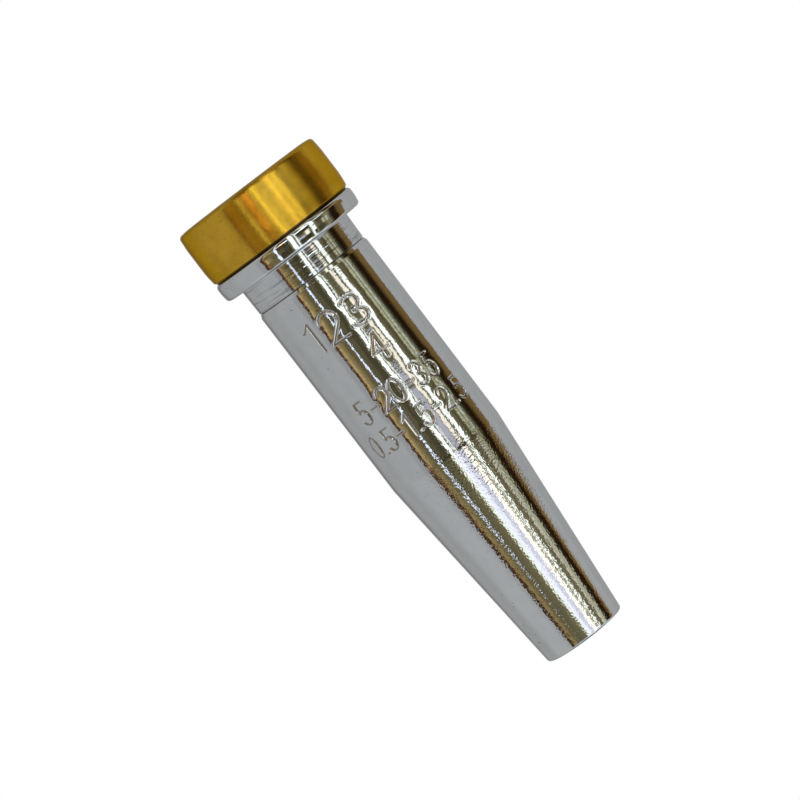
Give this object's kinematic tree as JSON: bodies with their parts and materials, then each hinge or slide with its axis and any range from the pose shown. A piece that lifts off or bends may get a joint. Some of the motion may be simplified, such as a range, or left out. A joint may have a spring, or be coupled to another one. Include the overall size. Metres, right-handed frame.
{
  "type": "propane cutting tip",
  "caption": "Slender round cutting nozzle: a plated tapered shell on a brass core, with a flat gas seat at one end and a splined, recessed flame end at the other.",
  "frame": {"origin": "centre of the flat seat face of the brass head", "axes": "+Z along the tip's axis, from the seat face towards the flame end; +X through the middle of one gas port"},
  "size_m": [0.0227, 0.0226, 0.0762],
  "materials": {
    "turned_brass": "turned brass, satin, with fine circumferential tool lines",
    "bright_plating": "bright plating over turned copper, with faint tool lines and fine grain"
  },
  "bodies": {
    "root": {"brass_core": "turned_brass", "plated_shell": "bright_plating"}
  },
  "joints": []
}
